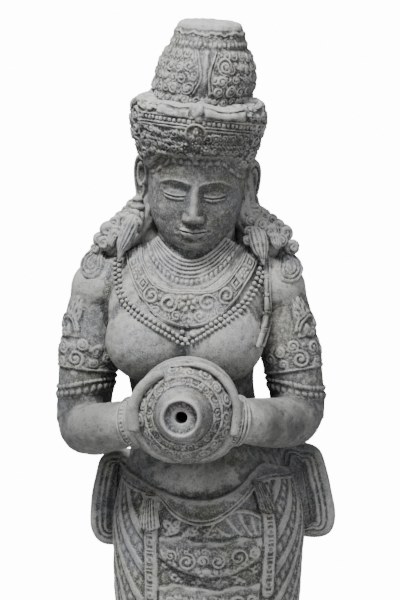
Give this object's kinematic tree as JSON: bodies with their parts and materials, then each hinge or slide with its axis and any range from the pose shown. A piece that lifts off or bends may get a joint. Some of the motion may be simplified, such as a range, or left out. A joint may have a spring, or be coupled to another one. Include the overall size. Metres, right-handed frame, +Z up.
{
  "type": "standing rice goddess statue",
  "caption": "Standing goddess figure in carved grey stone with a tall crown and wrapped skirt, holding a round jug with a drilled spout for a fountain, on a low block.",
  "frame": {"origin": "centre of the base's flat underside", "axes": "+Z up through the crown, +X to the right as seen from the front, -Y out of the front, where the face and the jug's spout look"},
  "size_m": [0.4381, 0.435, 1.4974],
  "materials": {
    "grey_stone": "dull weathered carved stone"
  },
  "bodies": {
    "root": {"statue": "grey_stone"}
  },
  "joints": []
}
